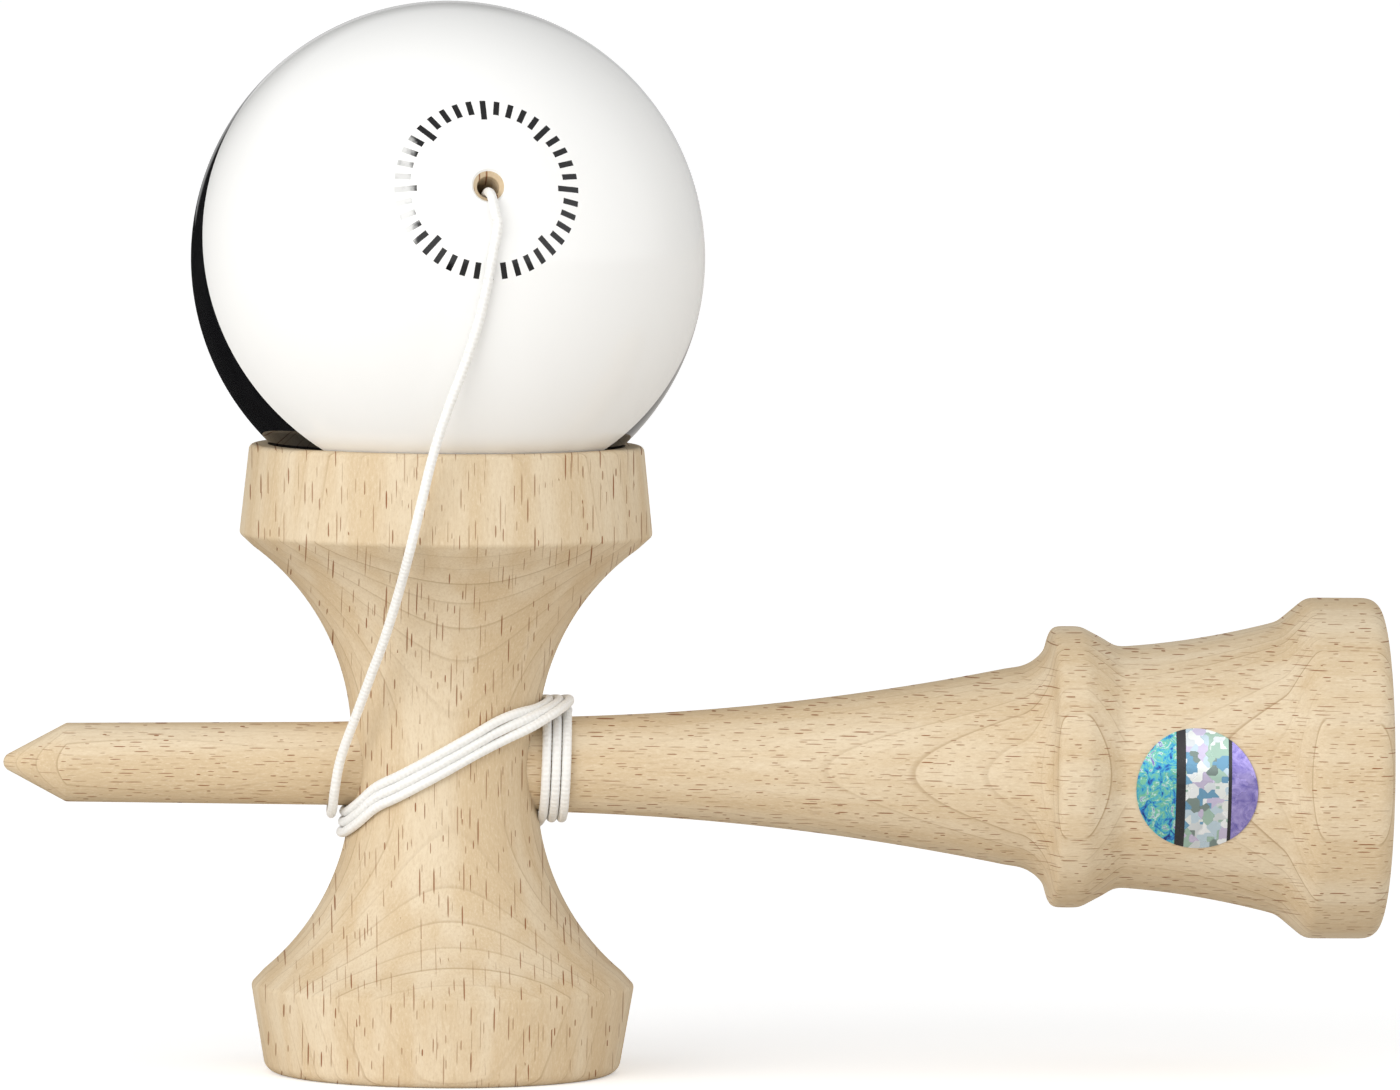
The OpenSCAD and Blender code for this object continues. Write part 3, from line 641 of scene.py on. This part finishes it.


# Ball. Turned beech, drilled through: a wide spike hole from behind, a seat for the bead and the narrow
# string hole in front. It is sprayed glossy black, then masked and sprayed white round the string hole,
# where a ring of fine ticks is printed, fading out pale towards the left.
ball_r, lacquer = 30.0, 0.25
core_r = ball_r - lacquer
hole_r, hole_bevel, colour_line = 1.3, 0.8, 4.9
bore_r, bore_bevel, bore_end, seat_cone, pocket_r = 10.0, 1.6, 6.0, 5.0, 4.3
bore_wall = sqrt(ball_r ** 2 - (bore_r + bore_bevel) ** 2) - bore_bevel


def bevel_height(radius, foot):
    """Height at which a cone whose radius is the height above its foot comes out of a ball of that radius."""
    return (foot + sqrt(2 * radius ** 2 - foot ** 2)) / 2


def meridian(radius, low, high, steps):
    """Outline of a ball between two heights, evenly spaced along its curve."""
    a = np.linspace(np.arcsin(low / radius), np.arcsin(high / radius), steps)
    return radius * np.stack([np.cos(a), np.sin(a)], 1)


hole_foot = ball_r - hole_bevel - hole_r
bore_foot = bore_wall - bore_r
core_low, core_high = -bevel_height(core_r, bore_foot), bevel_height(core_r, hole_foot)
core_outline = np.concatenate([
    meridian(core_r, core_low, core_high, 60),
    [[hole_r, ball_r - hole_bevel], [hole_r, bead_stop], [pocket_r, bead_stop],
     [pocket_r, bore_end + seat_cone], [bore_r, bore_end], [bore_r, -bore_wall]]])
white_outline = np.concatenate([
    meridian(ball_r, colour_line, bevel_height(ball_r, hole_foot), 80),
    meridian(core_r, colour_line, core_high, 30)[::-1]])
black_outline = np.concatenate([
    meridian(ball_r, -bevel_height(ball_r, bore_foot), colour_line, 80),
    meridian(core_r, core_low, colour_line, 30)[::-1]])
ball_wood = beech_finish("beech in the ball", turned_by=(0, 0, 0), pith=(0, 0, 0),
                         ray_length=1.2, ray_width=0.08, ray_spacing=(0.7, 6, 4.0),
                         layer_step=2.4, layer_strength=0.8)


def lacquer_group():
    """The slight orange peel of sprayed lacquer: a fine noise, and a roughness that grows with it."""
    group, given, result = new_group("lacquer skin", [
        ("Vector", "Vector"), ("Smoothest", "Float"), ("Rougher", "Float")],
        [("Peel", "Float"), ("Roughness", "Float")])
    peel = noise(group, given["Vector"], 260.0, 2.0)
    roughness = maths(group, "ADD", given["Smoothest"], maths(group, "MULTIPLY", peel, given["Rougher"]))
    group.links.new(peel, result["Peel"])
    group.links.new(roughness, result["Roughness"])
    return group


lacquer_skin = lacquer_group()


def sprayed(tree, shader, smoothest, rougher):
    """Gives a shader the lacquer's peel and roughness, and returns the peel."""
    skin = node(tree, "ShaderNodeGroup", [("Vector", own_place(tree)), ("Smoothest", smoothest),
                                          ("Rougher", rougher)], node_tree=lacquer_skin).outputs
    bumped(tree, shader, skin["Peel"], 0.03, 0.0002)
    tree.links.new(skin["Roughness"], shader.inputs["Roughness"])
    return skin["Peel"]


white_finish, tree, shader = new_material("white lacquer")
coat_white, ink_black = (0.93, 0.93, 0.915, 1), (0.004, 0.004, 0.005, 1)
tick_count, tick_w, tick_from, tick_to = 40, 0.68, 8.9, 10.7
long_every, long_tick_from = 5.0, 8.2
fade_from, fade_to, fade_share = -6.5, -9.5, 0.75
here = node(tree, "ShaderNodeAttribute", attribute_name="from_hole").outputs["Vector"]
to_right, to_top, to_front = node(tree, "ShaderNodeSeparateXYZ", [(0, here)]).outputs
from_hole = maths(tree, "SQRT", maths(tree, "ADD", maths(tree, "POWER", to_right, 2.0),
                                      maths(tree, "POWER", to_top, 2.0)))
clock = maths(tree, "DIVIDE", maths(tree, "ARCTAN2", to_top, to_right), 2 * np.pi)
tick = maths(tree, "ADD", maths(tree, "MULTIPLY", clock, tick_count), 0.5 + tick_count)
off_tick = maths(tree, "ABSOLUTE", maths(tree, "SUBTRACT", maths(tree, "FRACT", tick), 0.5))
off_tick = maths(tree, "MULTIPLY", off_tick, maths(tree, "MULTIPLY", from_hole, 2 * np.pi / tick_count))
is_long = maths(tree, "LESS_THAN", maths(tree, "MODULO", maths(tree, "FLOOR", tick), long_every), 0.5)
tick_foot = maths(tree, "SUBTRACT", tick_from, maths(tree, "MULTIPLY", is_long, tick_from - long_tick_from))
# The ticks fade out towards the left of the ball: a step along to_right, with a fine noise on the edge of the
# fade.
rubbed = noise(tree, own_place(tree), 900.0, 3.0)
fading = maths(tree, "ADD", step_up(tree, to_right, fade_from, fade_to), rubbed)
faded = maths(tree, "MULTIPLY", step_up(tree, fading, 0.95, 1.5), fade_share)
ink = maths(tree, "LESS_THAN", off_tick, tick_w / 2)
for bound in (maths(tree, "GREATER_THAN", from_hole, tick_foot), maths(tree, "LESS_THAN", from_hole, tick_to),
              maths(tree, "GREATER_THAN", to_front, 0.0), maths(tree, "SUBTRACT", 1.0, faded)):
    ink = maths(tree, "MULTIPLY", ink, bound)
tree.links.new(mixed(tree, ink, coat_white, ink_black), shader.inputs["Base Color"])
sprayed(tree, shader, smoothest=0.06, rougher=0.06)

black_finish, tree, shader = new_material("black lacquer")
coat_black, coat_black_thin = (0.005, 0.005, 0.006, 1), (0.009, 0.009, 0.01, 1)
peel = sprayed(tree, shader, smoothest=0.03, rougher=0.05)
tree.links.new(mixed(tree, step_up(tree, peel, 0.3, 0.8), coat_black, coat_black_thin),
               shader.inputs["Base Color"])
shader.inputs["IOR"].default_value = 1.4

for name, outline, finish, stood_for in (("beech_ball", core_outline, ball_wood, "ball_core"),
                                         ("white_coat", white_outline, white_finish, "white_lacquer"),
                                         ("black_coat", black_outline, black_finish, "black_lacquer")):
    piece = turned(name, outline, ball_axes, ball_centre)
    place = np.empty(3 * len(piece.data.vertices), np.float32)
    piece.data.vertices.foreach_get("co", place)
    place = (place.reshape(-1, 3) * METRE - ball_centre) @ ball_axes.T
    piece.data.attributes.new("from_hole", "FLOAT_VECTOR", "POINT").data.foreach_set("vector", place.ravel())
    piece.data.materials.append(finish)
    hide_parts(stood_for)
    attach(piece, "ball")


# Bead. A small round bead, flat at both ends, with a bore for the string. The string's knot pulls it
# against its seat in the ball, so that the ball can turn on the string.
bead_r, bead_bore_r, bead_edge = 4.0, 0.8, 0.25
bead_half = 0.9 * bead_r
bead_outline = np.concatenate([
    meridian(bead_r, -bead_half, bead_half, 40),
    [[bead_bore_r + bead_edge, bead_half], [bead_bore_r, bead_half - bead_edge],
     [bead_bore_r, bead_edge - bead_half], [bead_bore_r + bead_edge, -bead_half]]])
bead = turned("turned_bead", bead_outline, ball_axes, in_ball([[0, 0, bead_mid]])[0], sides=64)
bead_finish, tree, shader = new_material("moulded bead")
shader.inputs["Base Color"].default_value = (0.85, 0.84, 0.8, 1)
shader.inputs["Roughness"].default_value = 0.3
bead.data.materials.append(bead_finish)
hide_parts("bead")
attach(bead, "tether")


# Label. A round sticker of prismatic foil on a thin film of glue, rubbed down on the front of the base
# cup. Two black bars part its marbled, prismatic and violet bands.
label_x, label_r, label_t, label_glue, label_turn = 87.0, 7.0, 0.12, 0.05, radians(6)
front_rings, back_rings, label_sides = 24, 8, 96


def label_surface():
    """A disc wrapped on the base cup's body: its front from the middle out, over the edge, and its back.
    Each ring keeps its distance from the middle along the handle and upwards."""
    out = np.concatenate([np.linspace(0, label_r, front_rings), np.linspace(label_r, 0, back_rings)])
    lift = label_glue + np.concatenate([np.full(front_rings, label_t), np.zeros(back_rings)])
    angle = 2 * np.pi * np.arange(label_sides) / label_sides
    x = label_x + out[1:-1, None] * np.cos(angle)
    up = out[1:-1, None] * np.sin(angle)
    radius = base_flare(x)
    lean = np.arcsin(up / radius) - label_turn
    radius = radius + lift[1:-1, None]
    points = np.stack([x, -radius * np.cos(lean), axis_z + radius * np.sin(lean)], -1).reshape(-1, 3)
    middle = base_flare(label_x) + np.array([label_glue + label_t, label_glue])
    poles = np.stack([np.full(2, label_x), -middle * cos(label_turn), axis_z - middle * sin(label_turn)], 1)
    rings = len(out) - 2
    k, last = np.arange(label_sides), (rings - 1) * label_sides
    onward = (k + 1) % label_sides
    faces = grid_faces(rings, label_sides)[:, ::-1].tolist()
    faces += np.stack([np.full(label_sides, len(points)), k, onward], 1).tolist()
    faces += np.stack([last + onward, last + k, np.full(label_sides, len(points) + 1)], 1).tolist()
    return np.concatenate([points, poles]), faces


label = put_mesh("foil_label", *label_surface())
place = np.empty(3 * len(label.data.vertices), np.float32)
label.data.vertices.foreach_get("co", place)
place = place.reshape(-1, 3) * METRE - [label_x, 0, axis_z - base_flare(label_x) * sin(label_turn)]
place = place * [1, 0, 1]
label.data.attributes.new("on_label", "FLOAT_VECTOR", "POINT").data.foreach_set("vector", place.ravel())


def ramp(tree, value, *stops):
    """A colour ramp of hard-edged bands, all of one width."""
    n = node(tree, "ShaderNodeValToRGB", [(0, value)])
    band = n.color_ramp
    band.interpolation = "CONSTANT"
    for i, colour in enumerate(stops):
        stop = band.elements[i] if i < 1 else band.elements.new(i / len(stops))
        stop.color = (*colour, 1)
    band.elements.remove(band.elements[-1])
    return n.outputs[0]


def between(tree, value, low, high):
    """1 where a value lies between two others, else 0."""
    above_low, below_high = maths(tree, "GREATER_THAN", value, low), maths(tree, "LESS_THAN", value, high)
    return maths(tree, "MULTIPLY", above_low, below_high)


foil_finish, tree, shader = new_material("prismatic foil")
marbled_to, bar_to, prism_to, thin_bar_to = -2.4, -1.3, 3.6, 4.0
on_label = node(tree, "ShaderNodeAttribute", attribute_name="on_label").outputs["Vector"]
across_label = part_of(tree, on_label, 0)
shard = node(tree, "ShaderNodeTexVoronoi", [("Vector", on_label), ("Scale", 0.85)], distance="MANHATTAN")
tint = node(tree, "ShaderNodeSeparateColor", [(0, shard.outputs["Color"])]).outputs
prism = ramp(tree, tint[0], (0.62, 0.66, 0.68), (0.35, 0.5, 0.42), (0.75, 0.78, 0.76), (0.16, 0.34, 0.5),
             (0.55, 0.5, 0.66), (0.82, 0.85, 0.86), (0.2, 0.26, 0.24), (0.5, 0.62, 0.7))
mottle = noise(tree, on_label, 0.75, 3.0, roughness=0.7, distortion=1.2)
spread = node(tree, "ShaderNodeMapRange", [("Value", mottle), ("From Min", 0.3), ("From Max", 0.7)])
spread = spread.outputs["Result"]
marbled = ramp(tree, spread, (0.02, 0.05, 0.22), (0.03, 0.16, 0.5), (0.05, 0.35, 0.62), (0.12, 0.5, 0.55),
               (0.2, 0.55, 0.38), (0.5, 0.72, 0.72), (0.22, 0.2, 0.52))
violet = mixed(tree, spread, (0.1, 0.08, 0.35, 1), (0.42, 0.36, 0.7, 1))
bar_black = (0.012, 0.012, 0.015, 1)
foil = mixed(tree, maths(tree, "GREATER_THAN", across_label, marbled_to), marbled, prism)
foil = mixed(tree, maths(tree, "GREATER_THAN", across_label, prism_to), foil, violet)
barred = maths(tree, "MAXIMUM", between(tree, across_label, marbled_to, bar_to),
               between(tree, across_label, prism_to, thin_bar_to))
bare = maths(tree, "SUBTRACT", 1.0, barred)
tree.links.new(mixed(tree, barred, foil, bar_black), shader.inputs["Base Color"])
tree.links.new(maths(tree, "MULTIPLY", bare, 0.55), shader.inputs["Metallic"])
tree.links.new(maths(tree, "ADD", 0.16, maths(tree, "MULTIPLY", tint[1], 0.25)), shader.inputs["Roughness"])
bumped(tree, shader, tint[2], 0.25, 0.00005)
label.data.materials.append(foil_finish)
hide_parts("label")
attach(label, "handle")


# Studio. A wide pale floor, which runs on past the picture's top edge, a large soft light in front at
# the left, and a pale surround, brighter in front and dimmer overhead. The floor throws back less light
# than it shows, and in gloss it is dark at the left, as the surround is low down there and behind.
floor_half = 40000
floor_shown, floor_glow = (0.96, 0.96, 0.96, 1), (0.36, 0.36, 0.36, 1)
floor_bounce, floor_in_gloss = (0.84, 0.81, 0.77, 1), (0.02, 0.02, 0.02, 1)
floor = put_mesh("floor", [[-floor_half, -floor_half, 0], [floor_half, -floor_half, 0],
                           [floor_half, floor_half, 0], [-floor_half, floor_half, 0]], [[0, 1, 2, 3]])
floor_finish, tree, shader = new_material("pale floor")
seen_by = node(tree, "ShaderNodeLightPath").outputs
at_left = step_up(tree, part_of(tree, own_place(tree), 0), 0.0, -0.03)
in_gloss = maths(tree, "MULTIPLY", seen_by["Is Glossy Ray"], at_left)
bounce = mixed(tree, in_gloss, floor_bounce, floor_in_gloss)
base_colour = mixed(tree, seen_by["Is Camera Ray"], bounce, floor_shown)
glow = mixed(tree, seen_by["Is Camera Ray"], (0, 0, 0, 1), floor_glow)
tree.links.new(base_colour, shader.inputs["Base Color"])
tree.links.new(glow, shader.inputs["Emission Color"])
shader.inputs["Emission Strength"].default_value = 1.0
shader.inputs["Roughness"].default_value = 0.9
shader.inputs["Specular IOR Level"].default_value = 0.0
floor.data.materials.append(floor_finish)


def soft_light(name, place, size, watts):
    """A square soft light that faces the middle of the toy."""
    light = bpy.data.objects.new(name, bpy.data.lights.new(name, "AREA"))
    light.data.shape, light.data.size, light.data.energy = "SQUARE", size / METRE, watts
    aim = looked_at - Vector(place)
    light.rotation_euler = aim.to_track_quat("-Z", "Y").to_euler()
    light.location = Vector(place) / METRE
    bpy.context.collection.objects.link(light)


soft_light("key", (-1000, -1250, 300), 1300, 14)
world = bpy.data.worlds.new("pale surround")
bpy.context.scene.world = world
world.use_nodes = True
tree = world.node_tree
surround = tree.nodes["Background"]
surround.inputs["Color"].default_value = (1, 1, 1, 1)
seen_by = node(tree, "ShaderNodeLightPath").outputs
toward = node(tree, "ShaderNodeTexCoord").outputs["Generated"]
toward_x, toward_y, toward_z = node(tree, "ShaderNodeSeparateXYZ", [(0, toward)]).outputs
in_front = maths(tree, "MULTIPLY", step_up(tree, toward_y, 0.6, -0.1), 0.9)
overhead = maths(tree, "MULTIPLY", step_up(tree, toward_z, 0.2, 0.95), 0.55)
glow = maths(tree, "MULTIPLY", maths(tree, "ADD", 0.5, in_front), maths(tree, "SUBTRACT", 1.0, overhead))
in_gloss = seen_by["Is Glossy Ray"]
for way, low, high in ((toward_x, 0.25, 0.05), (toward_y, -0.3, 0.0), (toward_y, 0.985, 0.96),
                       (toward_z, 0.55, 0.35)):
    in_gloss = maths(tree, "MULTIPLY", in_gloss, step_up(tree, way, low, high))
dimmed = maths(tree, "SUBTRACT", 1.0, maths(tree, "MULTIPLY", in_gloss, 0.97))
glow = maths(tree, "MULTIPLY", glow, dimmed)
shown = node(tree, "ShaderNodeMix", [(0, seen_by["Is Camera Ray"]), (2, glow), (3, 1.0)])
tree.links.new(shown.outputs[0], surround.inputs["Strength"])
bpy.context.scene.view_settings.view_transform = "Standard"
